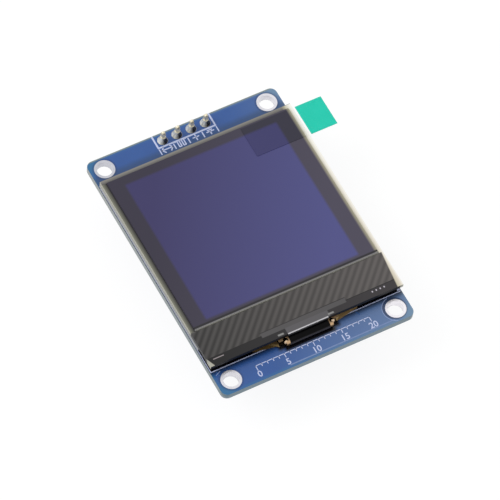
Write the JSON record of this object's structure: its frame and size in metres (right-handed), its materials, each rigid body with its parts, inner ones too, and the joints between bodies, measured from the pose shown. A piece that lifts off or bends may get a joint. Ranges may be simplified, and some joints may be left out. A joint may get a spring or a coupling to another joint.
{
  "type": "small oled display module",
  "caption": "Small square glass display panel taped to a blue circuit board with corner mounting holes, a folded flat cable along one end, a rear pin header and a green pull tab.",
  "frame": {"origin": "centre of the four mounting holes, on the circuit board's front face", "axes": "+Z out of the display face along the mounting holes, +Y along the board towards the pin header, +X across the board towards the pull tab"},
  "size_m": [0.0389, 0.0464, 0.0123],
  "materials": {
    "board": "blue solder mask, glossy",
    "white_ink": "screen-printed white ink, satin",
    "plating": "tin plated copper, bright",
    "foam": "black foam, matt",
    "glass": "ground-edged display glass, polished faces",
    "drying_sheet": "white pressed powder sheet, matt",
    "seal": "cured sealing resin",
    "lit_area": "vapour-deposited layers, violet grey",
    "tracks": "striped dark grey metal tracks",
    "polarizer": "dark violet polarizing film, glossy",
    "clear_film": "clear protective film, glossy",
    "pull_tape": "clear adhesive tape, glossy",
    "pull_grip": "green film, satin",
    "chip_silicon": "bare silicon chip, polished",
    "black_resin": "black resin coat, satin",
    "amber_film": "amber polyimide film, glossy",
    "black_cover": "black cover film, satin",
    "clear_resin": "clear resin bead, glossy",
    "gold": "gold plated copper",
    "solder": "tin solder, bright",
    "black_plastic": "moulded black plastic, satin",
    "pin_metal": "plated brass, bright",
    "ceramic": "tan ceramic between tinned ends",
    "resistor_glaze": "black glaze between tinned ends",
    "lead_metal": "tinned copper leads, satin"
  },
  "bodies": {
    "root": {"pcb": "board", "foam_tape": "foam", "rear_glass": "glass", "drying_sheet": "drying_sheet", "edge_seal": "seal", "emitter_layer": "lit_area", "conductor_tracks": "tracks", "front_glass": "glass", "polarizer": "polarizer", "protective_film": "clear_film", "pull_tape": "pull_tape", "pull_grip": "pull_grip", "driver_chip": "chip_silicon", "ledge_coat": "black_resin", "flex_film": "amber_film", "flex_cover": "black_cover", "resin_bead": "clear_resin", "flex_pads": "gold", "flex_solder": "solder", "header_pads": "gold", "header_spacer": "black_plastic", "smd_pads": "gold", "smd_solder": "solder", "regulator_body": "black_plastic", "regulator_leads": "lead_metal", "hole_plating_1": "plating", "header_pin_1": "pin_metal", "header_solder_1": "solder", "hole_plating_2": "plating", "header_pin_2": "pin_metal", "header_solder_2": "solder", "hole_plating_3": "plating", "header_pin_3": "pin_metal", "header_solder_3": "solder", "hole_plating_4": "plating", "header_pin_4": "pin_metal", "header_solder_4": "solder", "capacitor_1": "ceramic", "capacitor_2": "ceramic", "capacitor_3": "ceramic", "capacitor_4": "ceramic", "capacitor_5": "ceramic", "capacitor_6": "ceramic", "resistor_1": "resistor_glaze", "resistor_2": "resistor_glaze", "resistor_3": "resistor_glaze", "resistor_4": "resistor_glaze", "resistor_5": "resistor_glaze"}
  },
  "joints": []
}
